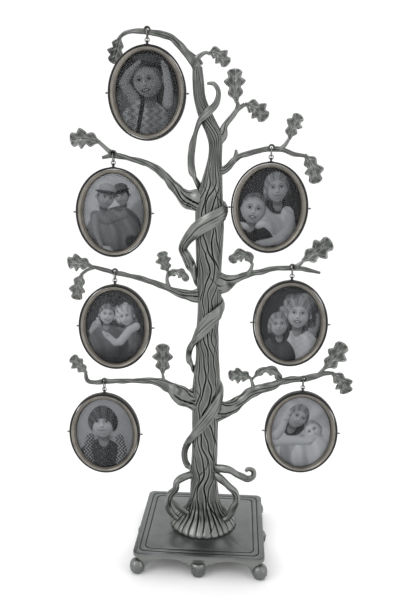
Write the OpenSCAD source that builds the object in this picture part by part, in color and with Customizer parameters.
// Family-tree photo stand: a cast oak tree on a footed base carries seven
// oval photo holders that hang from its branches, swing, and turn over.
// Origin: floor level under the middle of the base. +Z up, front towards -Y.

/* [Base] */
// Width and depth of the square top plate
base_w = 102; // [90:1:125]
// Height of the top plate's upper face above the floor
base_h = 17.5; // [15:0.5:21]
// Thickness of the top plate
plate_t = 3; // [2.5:0.1:4]
// Radius of the top plate's corners
plate_corner_r = 5; // [2:0.5:9]
// Wall of the hollow base casting
base_wall = 2.4; // [1.8:0.1:4]
// How far the apron stands in from the plate's edge
apron_inset = 1.6; // [0.8:0.1:4]
// Height above the floor that the apron reaches down to beside a corner foot
apron_low = 2.5; // [1.5:0.1:5]
// Height left under the plate at the top of each arch
arch_rise_gap = 1.2; // [0.6:0.1:3]
// Width of a corner foot
corner_foot_w = 12; // [10:0.5:15]
// Width of a foot in the middle of a side
side_foot_w = 12.4; // [9:0.2:15]
// How far a foot stands out past the plate's edge
foot_out = 2.6; // [1:0.2:4]
// Distance from the plate's edge to the outer engraved line
groove_in = 4; // [3:0.5:8]
// Distance between the two engraved lines
groove_pitch = 4; // [2:0.5:6]
// Width of an engraved line
groove_w = 0.9; // [0.5:0.1:1.5]
// Depth of an engraved line
groove_d = 0.5; // [0.2:0.1:1]

/* [Trunk fixing] */
// Diameter of the screw that holds the trunk to the base
screw_d = 5; // [4:0.5:7]
// Length of the screw under its head
screw_len = 22; // [16:1:32]
// Diameter of the screw's head
screw_head_d = 9; // [8:0.5:12]
// Height of the screw's head
screw_head_h = 2.6; // [2:0.2:3.4]
// Outside diameter of the washer
washer_d = 14; // [12:0.5:20]
// Thickness of the washer
washer_t = 1; // [0.8:0.1:2]

/* [Tree] */
// Number of bark ridges round the trunk
bark_ridges = 10; // [7:1:13]
// Depth of the bark ridges as a share of the radius
bark_depth = 0.07; // [0.02:0.01:0.12]
// Flatness of the branches from front to back
limb_flat = 0.8; // [0.6:0.05:1]
// Thickness of a leaf
leaf_t = 1; // [0.8:0.1:1.6]
// Diameter of the peg that seats a branch in the trunk
peg_d = 4; // [3:0.5:5]
// Length of that peg
peg_len = 5; // [3:0.5:8]
// Radial clearance of the peg in its socket
peg_gap = 0.1; // [0.05:0.05:0.3]

/* [Branch eyes] */
// Diameter of the hole that a holder hangs from
eye_bore = 2.4; // [2.2:0.1:3]
// Wall round that hole
eye_wall = 1.4; // [1:0.1:2]
// Thickness of the eye from front to back
eye_t = 3; // [2:0.2:3.4]

/* [Holder links] */
// Mean diameter of the upper link, which hangs in the eye
upper_link_d = 6.6; // [6.2:0.2:8]
// Wire diameter of the upper link
upper_wire = 1; // [0.8:0.1:1.2]
// Mean diameter of the lower link, which carries the hoop
lower_link_d = 3.2; // [3:0.1:4]
// Wire diameter of the lower link
lower_wire = 0.9; // [0.7:0.05:1]

/* [Holders] */
// Outside width of the hoop
hoop_w = 58.8; // [50:0.2:62]
// Outside height of the hoop without its point
hoop_h = 69; // [60:0.5:72]
// Wall of the hoop
hoop_wall = 1.1; // [0.7:0.1:1.4]
// Depth of the hoop from front to back
hoop_depth = 4.5; // [3.5:0.1:6]
// Width of the lug on the hoop's point
lug_w = 1.4; // [1.2:0.1:1.8]
// Diameter of the hole in the lug
lug_bore = 1.7; // [1.5:0.1:2]
// Gap between the hoop and the frame that turns in it
turn_gap = 0.5; // [0.4:0.1:1.5]
// Thickness of the turning frame from front to back
frame_t = 6; // [5:0.2:7]
// Width of the frame's face at its sides
face_side = 4.2; // [3:0.1:6]
// Width of the frame's face at its top and bottom
face_end = 3.1; // [2.4:0.1:6]
// Thickness of each clear cover
cover_t = 0.8; // [0.6:0.1:1.2]
// Thickness of each print
print_t = 0.3; // [0.2:0.05:0.5]
// How far the print and cover reach under the frame's face
rebate = 1.1; // [0.8:0.1:1.5]
// Clearance round the prints and covers
fit_gap = 0.15; // [0.1:0.05:0.3]
// Diameter of a pivot pin
pin_d = 1; // [0.8:0.1:1.4]
// Radial clearance of a pivot pin in its hole
pin_gap = 0.08; // [0.04:0.02:0.1]
// How far a pivot pin's head stands out of the hoop
pin_out = 1.6; // [1:0.1:2.5]
// Depth of a pivot pin in the frame
pin_in = 2; // [1.2:0.1:2.4]

/* [Hidden] */
HOLDERS = ["top", "left_1", "right_1", "left_2", "right_2", "left_3", "right_3"];
// Each holder: its side, the clear width from the tree's middle to its hoop,
// and the height of its eye above the plate
HANG = [[-1, 17.6, 392], [-1, 43.6, 303], [1, 17.6, 309], [-1, 43.1, 212],
        [1, 37.1, 219], [-1, 52.6, 121.5], [1, 49.6, 129]];
EYES = [for (h = HANG) [h[0] * (h[1] + hoop_w / 2), h[2]]];
PARTS = ["jump_rings", "hoop", "pivot_pins", "frame_halves", "covers", "prints"];
TREE = ["base_casting", "trunk", "trunk_screw", "screw_washer", "branch_top",
        "branch_left_1", "branch_right_1", "branch_left_2", "branch_right_2",
        "branch_left_3", "branch_right_3"];

pewter = "#7e8680";
old_pewter = "#6c726c";
champagne = "#a19a90";
black_band = "#3a3a38";
steel = "#b4b8b8";
clear_cover = "#cfd8dc";
print_paper = "#8d9095";

eps = 0.01;
big = 300;
axis_x = 1.5;
ring_seg = 48;
link_sides = 24;
limb_sides = 8;
trunk_sides = 28;

// Curves
function unit(v) = v / max(norm(v), 1e-9);
function at(p, i) = p[max(0, min(len(p) - 1, i))];
function spline(a, b, c, d, t) =
    0.5 * (2 * b + (c - a) * t + (2 * a - 5 * b + 4 * c - d) * t * t
    + (3 * b - 3 * c + d - a) * t * t * t);
function smooth(p, steps) =
    [for (i = [0:len(p) - 2]) for (k = [0:steps - 1])
        spline(at(p, i - 1), at(p, i), at(p, i + 1), at(p, i + 2), k / steps),
     p[len(p) - 1]];
function place(p) = [p[0], p[1], p[2]];
function heading(p, i) = unit(place(at(p, i + 1)) - place(at(p, i - 1)));
function square_to(v, t) = unit(v - (v * t) * t);

// Skin over a row of closed outlines with the same number of points
module skin(rings) {
    n = len(rings[0]);
    m = len(rings);
    faces = concat(
        [[for (k = [n - 1:-1:0]) k]],
        [for (i = [0:m - 2]) for (k = [0:n - 1]) each [
            [i * n + k, (i + 1) * n + (k + 1) % n, (i + 1) * n + k],
            [i * n + k, i * n + (k + 1) % n, (i + 1) * n + (k + 1) % n]]],
        [[for (k = [0:n - 1]) (m - 1) * n + k]]);
    polyhedron(points = [for (r = rings) each r], faces = faces, convexity = 8);
}

// Round limb through points [x, y, z, radius], flattened along the reference
// axis: the depth for a branch, the trunk's radius for the winding stem
module limb(points, steps = 2, flat = limb_flat, around = false, sides = limb_sides) {
    p = smooth(points, steps);
    skin([for (i = [0:len(p) - 1])
        let (t = heading(p, i), c = place(p[i]), r = p[i][3],
             ref = around ? unit([c[0] - axis_x, c[1], 0]) : [0, 1, 0],
             n = square_to(ref, t), b = cross(t, n))
        [for (k = [0:sides - 1]) let (a = 360 * k / sides)
            c + b * r * cos(a) + n * r * flat * sin(a)]]);
}

// Oak leaf along a midrib. Half widths as a share of the length
LOBES = [[0, 0.06], [0.1, 0.1], [0.22, 0.27], [0.32, 0.15], [0.48, 0.4], [0.6, 0.2],
         [0.74, 0.37], [0.85, 0.19], [0.94, 0.2], [1, 0.05]];
module leaf(midrib, width = 1, cup = 0.35, face = [0, -1, 0]) {
    p = smooth(midrib, 8);
    len_mm = norm(midrib[len(midrib) - 1] - midrib[0]);
    last = len(p) - 1;
    skin([for (q = LOBES)
        let (i = round(q[0] * last), c = p[i], t = heading(p, i),
             n = square_to(face, t), b = cross(t, n), w = q[1] * len_mm * width,
             rise = n * w * cup, half = n * leaf_t / 2)
        [c - b * w + rise - half, c - half, c + b * w + rise - half,
         c + b * w + rise + half, c + half * 1.6, c - b * w + rise + half]]);
}

// Base
arch_h = base_h - plate_t - arch_rise_gap;
apron_w = base_w - 2 * apron_inset;
apron_h = base_h - plate_t - apron_low;
corner_at = base_w / 2 + foot_out - corner_foot_w / 2;
side_at = base_w / 2 + foot_out - side_foot_w / 2;

module rounded_square(w, r) {
    for (s = [0, 1])
        square([w - 2 * r * s, w - 2 * r * (1 - s)], center = true);
    for (x = [-1, 1], y = [-1, 1])
        translate([x, y] * (w / 2 - r)) circle(r, $fn = 32);
}

module square_line(half) {
    difference() {
        rounded_square(2 * half, plate_corner_r);
        rounded_square(2 * (half - groove_w), plate_corner_r - groove_w / 2);
    }
}

// One arch, from a side foot to a corner foot: share of its span, share of its height
ARCH = [[0, 0.54], [0.1, 0.74], [0.28, 0.93], [0.5, 1], [0.68, 0.97], [0.84, 0.8],
        [0.95, 0.5], [1, 0.16]];
module arch_outline() {
    x0 = side_foot_w / 2 - 1;
    x1 = corner_at - corner_foot_w * 0.42;
    polygon(concat([[x1, -1], [x0, -1]],
        [for (q = smooth(ARCH, 3)) [x0 + (x1 - x0) * q[0], arch_h * q[1]]]));
}

// Corner foot: a plump rounded knob with a flat sole
module corner_foot() {
    r = corner_foot_w / 2;
    h = arch_h * 0.88;
    rotate_extrude($fn = 48)
        polygon(concat([[0, 0]], [for (a = [-68:22:86])
            [r * pow(cos(a), 0.7), h * (sin(a) + sin(68)) / (1 + sin(68))]], [[0, h]]));
}

// Side foot: a cup that widens upwards, with slanting ribs on its outer face
module side_foot() {
    r = side_foot_w / 2;
    h = arch_h * 0.83;
    lean = 7;
    rotate_extrude($fn = 48)
        polygon([[0, 0], [r * 0.58, 0], [r * 0.74, h * 0.05], [r * 0.84, h * 0.15],
                 [r * 0.92, h * 0.36], [r * 0.98, h * 0.68], [r, h * 0.82],
                 [r * 0.96, h * 0.93], [r * 0.84, h], [0, h]]);
    for (a = [-40:20:40])
        rotate([0, 0, a]) translate([r * 0.95, 0, h * 0.5]) rotate([28, lean, 0])
            bead(h * 0.8, side_foot_w * 0.06);
}

// Long bead, pointed at both ends
module bead(l, r)
    rotate_extrude($fn = 24)
        polygon([[0, -l / 2], [r * 0.8, -l / 4], [r, 0], [r * 0.8, l / 4], [0, l / 2]]);

module base_casting() color(old_pewter) {
    difference() {
        union() {
            translate([0, 0, base_h - plate_t])
                linear_extrude(plate_t) rounded_square(base_w, plate_corner_r);
            difference() {
                translate([0, 0, base_h - plate_t - apron_h])
                    linear_extrude(apron_h)
                        rounded_square(apron_w, plate_corner_r);
                translate([0, 0, base_h - plate_t - apron_h - 1])
                    linear_extrude(apron_h + 1)
                        rounded_square(apron_w - 2 * base_wall, plate_corner_r - base_wall / 2);
                for (q = [0, 90], s = [-1, 1])
                    rotate([90, 0, q]) mirror([s < 0 ? 1 : 0, 0, 0])
                        translate([0, 0, -base_w])
                            linear_extrude(2 * base_w) arch_outline();
            }
            translate([0, 0, base_h - plate_t - boss_h])
                cylinder(h = boss_h, r = boss_r, $fn = 48);
            for (q = [0:90:270]) rotate([0, 0, q]) {
                translate([corner_at, corner_at, 0]) corner_foot();
                translate([side_at, 0, 0]) side_foot();
            }
        }
        for (k = [0, 1])
            translate([0, 0, base_h - groove_d])
                linear_extrude(1) square_line(base_w / 2 - groove_in - k * groove_pitch);
        translate([0, 0, base_h - plate_t - boss_h - 1])
            cylinder(h = plate_t + boss_h + 2, d = screw_d + 2 * peg_gap, $fn = 48);
    }
}

// Trunk fixing
boss_h = 3;
boss_r = washer_d / 2 + 1;
seat_z = base_h - plate_t - boss_h;

module screw_washer() color(steel)
    translate([0, 0, seat_z - washer_t]) difference() {
        cylinder(h = washer_t, d = washer_d, $fn = 48);
        translate([0, 0, -1]) cylinder(h = washer_t + 2, d = screw_d + 2 * peg_gap, $fn = 48);
    }

module trunk_screw() color(steel)
    translate([0, 0, seat_z - washer_t - screw_head_h]) difference() {
        union() {
            cylinder(h = screw_head_h, d = screw_head_d, $fn = 48);
            cylinder(h = screw_head_h + screw_len, d = screw_d, $fn = 48);
        }
        translate([0, 0, -eps]) cylinder(h = screw_head_h * 0.6, d = screw_d * 0.8, $fn = 6);
    }

// Trunk: centre x, height above the plate, half width, half depth
COLUMN = [[1, 0, 27, 26.2], [1, 2.6, 26.8, 26], [1, 6, 24, 23.2], [1, 9, 20.6, 19.8],
          [1, 12, 17.4, 16.6], [1.2, 15.5, 14.8, 14.2], [1.5, 20, 12.9, 12.3],
          [1.5, 28, 11.6, 11], [1, 45, 10.6, 10], [1, 77, 10, 9.4],
          [1.5, 105, 11, 10], [1.5, 118, 11.4, 10], [1.5, 131, 10.4, 9.4],
          [1.5, 150, 9.6, 8.8], [1.5, 170, 8.6, 8.2], [2.5, 190, 9.2, 8.4],
          [2, 214, 9.6, 8.8], [1.5, 234, 10.4, 9], [1.5, 256, 11, 9.4],
          [1.5, 270, 10, 8.6], [3, 286, 7.4, 7], [4.5, 300, 5.2, 5.4], [5, 310, 5, 5],
          [3.5, 319, 6, 5.2], [-2, 330, 5.8, 4.8], [-7.5, 344, 4.4, 4.2],
          [-9, 357, 4.2, 4], [-9.5, 366, 3.8, 3.6]];
function bark(a, z) = 1 + bark_depth * (0.7 * cos(bark_ridges * a + 40 * sin(z * 4))
    + 0.5 * cos((bark_ridges - 3) * a - 55 * sin(z * 3 + 30)));

module column() {
    skin([for (q = COLUMN) [for (k = [trunk_sides:-1:1])
        let (a = 360 * k / trunk_sides, g = bark(a, q[1]))
        [q[0] + q[2] * g * cos(a), q[3] * g * sin(a), base_h + q[1]]]]);
}

// Heights below are above the plate
function lift(points) = [for (p = points) len(p) > 3
    ? [p[0], p[1], p[2] + base_h, p[3]] : [p[0], p[1], p[2] + base_h]];

// The stem that winds down the trunk, from its curled tip to the left loop
WINDER = [[-2, -4, 354, 0.9], [3, -5, 353.5, 1.5], [6.5, -5, 348, 1.9], [5, -6, 340, 2.3],
          [-1, -7, 333, 2.8], [-7, -4.5, 327, 2.8], [-11, -1, 316, 2.5], [-13.5, 0, 302, 2.4],
          [-12.5, 0.5, 290, 2.5], [-8, 3, 281, 2.8], [-3, 9, 274, 3], [6, 10, 268, 3.4],
          [13, 3, 263, 3.8], [11, -8, 259.5, 5], [2, -11.5, 254, 5.4], [-7.6, -9.5, 247, 5.2],
          [-15, -4, 239, 4.2], [-18.8, 0, 231.5, 3.3], [-15.4, 0, 222, 3.4], [-10.6, -1, 213, 3.4],
          [-7.5, 3, 205, 3], [-2, 9, 199, 3], [7, 9, 193, 3.2], [12.5, 2, 187.5, 3.8],
          [10, -7.5, 183, 4.4], [3, -10, 176, 4.6], [-4, -8, 166, 4.2], [-8.5, -3.5, 155, 3.4],
          [-10.5, 0, 145, 3], [-9, 3, 135, 3], [-5, 9, 128, 3], [4, 11, 123, 3.2],
          [12, 6, 120, 3.4], [13.2, -3, 115.5, 3.8], [9, -10, 106, 4.2], [2, -11, 95, 4],
          [-5, -9.5, 85, 3.6], [-9.5, -5, 77, 3], [-13.5, -2, 70, 2.6], [-15.5, -1, 62, 2.4],
          [-14, -1, 53.5, 2.4], [-8, -2, 46, 2.6]];
LEFT_LOOP = [[-4, -4, 43, 3.2], [-13, -5, 43.2, 3], [-20.6, -6, 39.3, 2.9], [-22, -7, 33, 2.8],
             [-26.2, -7, 28, 2.9], [-28.2, -7, 22, 2.6], [-27.5, -7, 15, 2.5], [-23.5, -7, 9, 2.6],
             [-17, -7, 4, 2.6]];
LEFT_ROOT = [[-25.5, -8, 24, 0.8], [-20, -10, 19, 0.9], [-13, -10, 15, 0.9], [-8, -9, 12, 0.9]];
RIGHT_CURL = [[5, -4, 50, 3.4], [14, -6, 51.5, 3.4], [22, -7, 51.5, 3], [30, -8, 47.5, 2.7],
              [37, -8, 45, 2.5], [41.5, -8, 47.5, 2.2], [41, -8.5, 52.5, 1.9], [37, -9, 54, 1.6],
              [35.3, -9, 51.8, 1.2]];
RIGHT_LOOP = [[6, -6, 48, 3], [14.5, -8, 43.5, 3.2], [22.6, -9, 37.7, 2.9], [27.6, -9, 32, 2.6],
              [28.2, -9, 25.5, 2.6], [25.6, -9, 18, 2.6], [22, -9, 11, 2.7], [16, -8, 5, 2.7]];
UPPER_TWIG = [[3, 0, 309, 4.4], [9.5, 0, 317.5, 3.8], [11.5, -0.5, 324, 2.5], [16, -1, 330, 2],
              [20.5, -1, 335.5, 1.8], [26, -1, 340, 1.3]];
UPPER_FORK = [[19, -1, 333, 1.6], [21, -1.5, 338, 1.5], [20, -2, 342, 1.2]];

// Branches: where the branch meets the trunk, then its limb outwards
SEAMS = [[-9.5, 366], [-12, 269], [11.2, 291.5], [-10.5, 194.5], [12.5, 205],
         [-13, 109], [13.5, 100]];
TOP_LIMB = [[-9.5, 0, 366, 3.7], [-12.5, 0, 371, 3.5], [-18, 0, 376, 3], [-23.5, 0, 382, 2.7],
            [-30, 0, 387, 2.4], [-38, 0, 389, 2.1], [-47, 0, 390.5, 2], [-54, 0.5, 391, 1.9],
            [-60, 1.5, 391, 1.7], [-65, 3, 389.5, 1.4], [-68.5, 4.5, 387, 1.1]];
TOP_TWIG = [[-12, 0, 370, 2.2], [-8, -0.5, 374, 1.7], [-4, -1, 376, 1.3], [-1, -1, 375.5, 1.1]];
LEFT_1 = [[-6, 0, 268, 8], [-12, 0, 269, 7.4], [-19, 0, 272, 5.6], [-26, 0, 279, 4],
          [-35, 0, 288, 2.9], [-43, 0, 294, 2.5], [-53, 0, 297.5, 2.2], [-64, 0, 300, 2],
          [-73, 0, 301.5, 2], [-81.5, -0.5, 299.5, 1]];
LEFT_1_FORK = [[-72, 0, 301.5, 1.9], [-77, -0.5, 305.5, 1.7], [-83.5, -1, 311, 1.3]];
RIGHT_1 = [[4, 0, 291, 4.4], [11.2, 0, 291.5, 3.2], [15, 0, 294.5, 2.6], [19.5, 0, 299.5, 2.4],
           [25, 0, 303, 2.2], [32, 0, 305, 2], [40, 0, 307, 1.9], [47, 0, 308, 1.9],
           [55, 0, 307.5, 1.9], [64, -0.5, 304.5, 1.7], [73, -1, 303, 1.3]];
RIGHT_1_STUB = [[19, 0, 298, 2], [20.5, -0.5, 303, 1.5], [20.5, -1, 307, 0.8]];
RIGHT_1_FORK = [[53, 0, 307.5, 1.7], [57, -0.5, 311, 1.4], [60, -1, 316, 1.1]];
LEFT_2 = [[-4, 0, 194.5, 5.4], [-10.5, 0, 194.5, 4.6], [-19, 0, 195.5, 3.6], [-29, 0, 199, 2.6],
          [-39, 0, 203, 2.2], [-50, 0, 206.5, 2], [-61, 0, 209, 1.9], [-72.5, 0, 211, 1.9],
          [-80, 0, 213, 1.6], [-92, -1, 216, 1.2]];
LEFT_2_FORK = [[-88, 0, 215, 1.4], [-94, -0.5, 213, 1.3], [-99, -1, 209, 1.1]];
LEFT_2_STEM = [[-29, 0, 199, 1.8], [-31, -1, 206, 1.3], [-30, -2, 214, 1]];
RIGHT_2 = [[5, 0, 205, 8], [12.5, 0, 205, 7.8], [18, 0, 206.5, 5.4], [25, 0, 209.5, 3.2],
           [33, 0, 212.5, 2.4], [42, 0, 214.5, 2.1], [50, 0, 217, 1.9], [58, 0, 218, 1.9],
           [66.5, 0, 218, 1.9], [76, 0, 217.5, 1.7], [88, -0.5, 215, 1]];
RIGHT_2_FORK = [[67, 0, 218.5, 1.6], [71.5, -0.5, 221, 1.5], [75, -1, 225, 1.2]];
RIGHT_2_STEM = [[31, 0, 211.5, 1.8], [34, -2, 216, 1.5], [35.5, -3, 221.5, 1.2]];
LEFT_3 = [[-5, 0, 108, 8.6], [-13, 0, 109, 8], [-20, 0, 112.5, 7], [-28, 0, 118, 5.2],
          [-37, 0, 122, 3.4], [-48, 0, 123, 2.3], [-58, 0, 122.5, 1.9], [-68, 0, 122, 2.1],
          [-82, 0, 121, 2], [-90, 0, 120, 1.8], [-96, 0, 121.5, 1.7], [-97, -0.5, 129, 1.3]];
LEFT_3_STEM = [[-34, 0, 121, 1.8], [-33.5, -1, 126, 1.3], [-34, -2, 131, 1]];
RIGHT_3 = [[5, 0, 99.5, 8.6], [13.5, 0, 100, 8], [20, 0, 102, 6.6], [27, 0, 106.5, 5],
           [36, 0, 115, 4], [46, 0, 119.5, 3.9], [55, 0, 122.5, 3.4], [63, 0, 126.5, 2.8],
           [71, 0, 128.5, 2.4], [79, 0, 129, 2.3], [88, 0, 131.5, 2.4], [97, -0.5, 134.5, 1.9],
           [103, -1, 135, 1.2]];
RIGHT_3_FORK = [[91, 0, 133, 1.6], [95, -0.5, 138.5, 1.2]];
RIGHT_3_STEM = [[40, 0, 117.5, 1.8], [38.5, -2, 124, 1.4], [36.5, -3, 130, 1]];

LIMBS = [TOP_LIMB, LEFT_1, RIGHT_1, LEFT_2, RIGHT_2, LEFT_3, RIGHT_3];

// The limbs are drawn for this hoop and reach further out for a wider one
drawn_hoop_w = 58.8; // the width at which the points above were set
function reach(i) = let (x = SEAMS[i][0], h = HANG[i])
    (EYES[i][0] - x) / (h[0] * (h[1] + drawn_hoop_w / 2) - x);
function out(i, points) = [for (p = lift(points))
    [SEAMS[i][0] + (p[0] - SEAMS[i][0]) * reach(i), each [for (k = [1:len(p) - 1]) p[k]]]];

// Half of the space at the plane where branch i meets the trunk: way is 1 for
// the branch's half and -1 for the trunk's
module seam_half(i, way) {
    s = SEAMS[i];
    if (i == 0)
        translate([0, 0, s[1] + base_h + way * big / 2]) cube(big, center = true);
    else
        translate([s[0] + way * sign(s[0]) * big / 2, 0, 0])
            cube([big, big, 3 * big], center = true);
}

module socket(i, gap) {
    s = SEAMS[i];
    translate([s[0], 0, s[1] + base_h])
        rotate([0, i == 0 ? 180 : -90 * sign(s[0]), 0])
            cylinder(h = peg_len + gap, r = peg_d / 2 + gap, $fn = 32);
}

module root_stub(i)
    difference() {
        limb([for (k = [0:2]) lift(LIMBS[i])[k]]);
        seam_half(i, 1);
    }

// Joins organic forms into one closed skin
module one_skin() resize([0, 0, 0]) union() children();

module trunk() color(pewter)
    one_skin() difference() {
        union() {
            column();
            limb(lift(WINDER), flat = 0.75, around = true);
            limb(lift(LEFT_LOOP));
            limb(lift(LEFT_ROOT), steps = 1, sides = 6);
            limb(lift(RIGHT_CURL));
            limb(lift(RIGHT_LOOP));
            limb(lift(UPPER_TWIG));
            limb(lift(UPPER_FORK), steps = 1);
            for (i = [1:6]) root_stub(i);
            leaf(lift([[20, -2, 341], [18.5, -4, 352], [18, -2, 365]]));
            leaf(lift([[26, -1, 340], [34, -3, 337], [42, -2, 329]]), width = 1.15);
        }
        for (i = [0:6]) socket(i, peg_gap);
        translate([0, 0, base_h - 1])
            cylinder(h = screw_len - plate_t - boss_h - washer_t + 2,
                     d = screw_d + 2 * peg_gap, $fn = 24);
    }

module at_eye(i)
    translate([EYES[i][0], 0, EYES[i][1] + base_h]) rotate([90, 0, 0]) children();

// Limb with its twigs and leaves, flat round its eye, which is a true bore
module branch(i) color(pewter) {
    boss_d = eye_bore + 2 * eye_wall;
    spot_face = 10;
    difference() {
        union() {
            one_skin() difference() {
                union() {
                    limb(out(i, LIMBS[i]));
                    children();
                    at_eye(i) cylinder(h = eye_t, d = boss_d, center = true, $fn = 24);
                }
                seam_half(i, -1);
                for (s = [-1, 1])
                    at_eye(i) translate([0, 0, s * (eye_t + spot_face) / 2])
                        cylinder(h = spot_face, d = boss_d, center = true, $fn = 24);
            }
            socket(i, 0);
        }
        at_eye(i) cylinder(h = 2 * spot_face, d = eye_bore, center = true, $fn = 32);
    }
}

module branch_top() branch(0) {
    limb(out(0, TOP_TWIG));
    leaf(out(0, [[-68, 4, 388], [-71, 9, 380], [-75, 13, 370]]), width = 0.95);
    leaf(out(0, [[-2, -1, 375.5], [5, -3, 375], [13, -1, 367.5]]), width = 1.1);
}
module branch_left_1() branch(1) {
    limb(out(1, LEFT_1_FORK));
    leaf(out(1, [[-82.5, -1, 311], [-94, -3, 313.5], [-106, -1, 312]]));
}
module branch_right_1() branch(2) {
    limb(out(2, RIGHT_1_STUB));
    limb(out(2, RIGHT_1_FORK));
    leaf(out(2, [[60, -1, 315], [62, -3, 324], [67, -2, 333]]));
    leaf(out(2, [[72, -1, 304], [78, -4, 295], [81, -3, 283]]), width = 0.95);
}
module branch_left_2() branch(3) {
    limb(out(3, LEFT_2_FORK));
    limb(out(3, LEFT_2_STEM));
    leaf(out(3, [[-91, -1, 216], [-100, -3, 219], [-110, -1, 218]]), width = 1.1);
    leaf(out(3, [[-98.5, -1, 210], [-101.5, -3, 199], [-103, -1, 188.5]]), width = 0.9);
    leaf(out(3, [[-30, -2, 213], [-33, -4, 221], [-35, -2, 229]]), width = 1.1);
    leaf(out(3, [[-30.5, -2, 209], [-24, -4, 213.5], [-17, -5, 211], [-16, -4, 206]]), width = 0.8);
}
module branch_right_2() branch(4) {
    limb(out(4, RIGHT_2_FORK));
    limb(out(4, RIGHT_2_STEM));
    leaf(out(4, [[74, -1, 224], [83, -3, 231], [95, -1, 240]]));
    leaf(out(4, [[35.5, -3, 220], [31.5, -5, 227.5], [24, -5, 227.5], [18, -3, 222]]), width = 0.9);
}
module branch_left_3() branch(5) {
    limb(out(5, LEFT_3_STEM));
    leaf(out(5, [[-96.5, -0.5, 128], [-102, -2, 135], [-108, -1, 142]]), width = 1.05);
    leaf(out(5, [[-34, -2, 130], [-33.5, -4, 142], [-34, -2, 155]]));
}
module branch_right_3() branch(6) {
    limb(out(6, RIGHT_3_FORK));
    limb(out(6, RIGHT_3_STEM));
    leaf(out(6, [[95, -0.5, 138], [102, -3, 148], [109, -1, 160]]));
    leaf(out(6, [[101, -1, 135], [109, -3, 129], [114, -2, 119]]), width = 1.1);
    leaf(out(6, [[37, -3, 129], [29, -5, 132], [19, -4, 131]]), width = 1.1);
    leaf(out(6, [[38, -3, 128], [46, -5, 138], [56, -4, 137], [60.5, -1, 127]]), width = 0.6);
}

// Holder, drawn with its hoop's centre at the origin and its face to the front
hoop_a = hoop_w / 2;
hoop_b = hoop_h / 2;
eye_gap = 0.1;
link_gap = 0.08;
seam_gap = 0.04;
lug_crest = 0.4;
lug_foot = 0.9;
upper_c = upper_link_d / 2 - eye_gap;
upper_low = upper_c + upper_link_d / 2;
lower_c = upper_low - (upper_wire + lower_wire) / 2 - link_gap + lower_link_d / 2;
lug_hole = lower_c + lower_link_d / 2;
lug_top = upper_low + upper_wire / 2 + lug_crest;
drop = lug_hole + lug_bore / 2 + lug_foot + hoop_b;
frame_a = hoop_a - hoop_wall - turn_gap;
frame_b = hoop_b - hoop_wall - turn_gap;
open_a = frame_a - face_side;
open_b = frame_b - face_end;
stack = cover_t + print_t;

module oval(a, b)
    polygon([for (k = [0:ring_seg - 1]) [a * cos(360 * k / ring_seg), b * sin(360 * k / ring_seg)]]);

module across(y0, y1)
    rotate([90, 0, 0]) translate([0, 0, -y1]) linear_extrude(y1 - y0) children();

module oval_ring(a_out, b_out, a_in, b_in, y0, y1)
    across(y0, y1) difference() {
        oval(a_out, b_out);
        oval(a_in, b_in);
    }

module link(mean_d, wire)
    rotate_extrude($fn = 64) translate([mean_d / 2, 0]) circle(d = wire, $fn = link_sides);

module jump_rings() color(steel) {
    translate([0, 0, drop - upper_c]) rotate([0, 90, 0]) link(upper_link_d, upper_wire);
    translate([0, 0, drop - lower_c]) rotate([90, 0, 0]) link(lower_link_d, lower_wire);
}

module hoop() color(black_band) {
    top = drop - lug_top;
    hole_z = drop - lug_hole;
    point_z = hoop_b + 0.4;
    point_w = 9;
    point_foot = hoop_b * 0.95;
    lug_cheek = 0.6;
    sunk = 0.5;
    difference() {
        union() {
            across(-hoop_depth / 2, hoop_depth / 2) difference() {
                union() {
                    oval(hoop_a, hoop_b);
                    polygon([[-point_w, point_foot], [-lug_w / 2, point_z],
                             [lug_w / 2, point_z], [point_w, point_foot]]);
                }
                oval(hoop_a - hoop_wall, hoop_b - hoop_wall);
            }
            translate([-lug_w / 2, -lug_bore / 2 - lug_cheek, point_z - sunk])
                cube([lug_w, lug_bore + 2 * lug_cheek, hole_z - point_z + sunk]);
            translate([-lug_w / 2, 0, hole_z]) rotate([0, 90, 0])
                cylinder(h = lug_w, r = top - hole_z, $fn = 32);
        }
        translate([-lug_w, 0, hole_z]) rotate([0, 90, 0])
            cylinder(h = 2 * lug_w, d = lug_bore, $fn = 32);
        for (s = [-1, 1]) translate([s * (hoop_a - hoop_wall / 2), 0, 0]) rotate([0, 90, 0])
            cylinder(h = 2 * hoop_wall, d = pin_d, center = true, $fn = 32);
    }
}

pin_head_t = 0.7;
pin_head_d = pin_d + 0.8;

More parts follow.
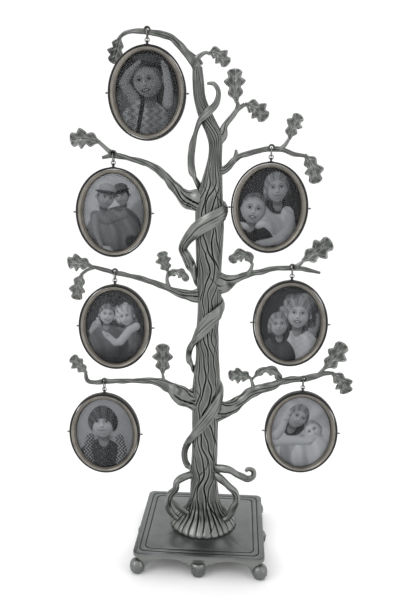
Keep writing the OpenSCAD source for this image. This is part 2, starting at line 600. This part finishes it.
module pivot_pins() color(steel)
    for (s = [0, 180]) rotate([0, 0, s]) rotate([0, 90, 0]) {
        translate([0, 0, frame_a - pin_in])
            cylinder(h = hoop_a + pin_out - frame_a + pin_in, d = pin_d, $fn = 32);
        translate([0, 0, hoop_a + pin_out - pin_head_t])
            cylinder(h = pin_head_t, d = pin_head_d, $fn = 32);
    }

// One face of the frame, as a moulding: a raised rim outside, then steps down
// to the opening. Each ring below is one step, and the first is the body
rim_w = 1.3;
rim_t = 1;
rim_round = 0.3;
bed_in = 0.8;

module frame_half() {
    face = -frame_t / 2;
    difference() {
        union() {
            oval_ring(frame_a, frame_b, open_a + rebate, open_b + rebate,
                      face + rim_t, -seam_gap / 2);
            oval_ring(frame_a - rim_round, frame_b - rim_round, frame_a - rim_w, frame_b - rim_w,
                      face, face + rim_t);
            oval_ring(frame_a - rim_w + eps, frame_b - rim_w + eps,
                      open_a + bed_in, open_b + bed_in, face + 0.8 * rim_t, face + 1.2 * rim_t);
            oval_ring(open_a + bed_in + 0.1, open_b + bed_in + 0.1, open_a, open_b,
                      face + 0.6 * rim_t, -stack);
            oval_ring(frame_a - 0.5, frame_b - 0.5, open_a + 0.5, open_b + 0.5,
                      face + rim_t, -stack);
        }
        rotate([0, 90, 0]) for (s = [-1, 1])
            translate([0, 0, s * (frame_a - pin_in / 2)])
                cylinder(h = pin_in + 0.6, d = pin_d + 2 * pin_gap, center = true, $fn = 32);
    }
}

module frame_halves() color(champagne) {
    frame_half();
    rotate([0, 0, 180]) frame_half();
}

module covers() color(clear_cover)
    for (s = [0, 180]) rotate([0, 0, s]) across(-stack, -print_t - seam_gap)
        oval(open_a + rebate - fit_gap, open_b + rebate - fit_gap);

module prints() color(print_paper)
    for (s = [0, 180]) rotate([0, 0, s]) across(-print_t, -seam_gap / 2)
        oval(open_a + rebate - fit_gap, open_b + rebate - fit_gap);

module hang(i) translate([EYES[i][0], 0, EYES[i][1] + base_h - drop]) children();

base_casting();
trunk();
trunk_screw();
screw_washer();
branch_top();
branch_left_1();
branch_right_1();
branch_left_2();
branch_right_2();
branch_left_3();
branch_right_3();
for (i = [0:6]) {
    hang(i) jump_rings();
    hang(i) hoop();
    hang(i) pivot_pins();
    hang(i) frame_halves();
    hang(i) covers();
    hang(i) prints();
}
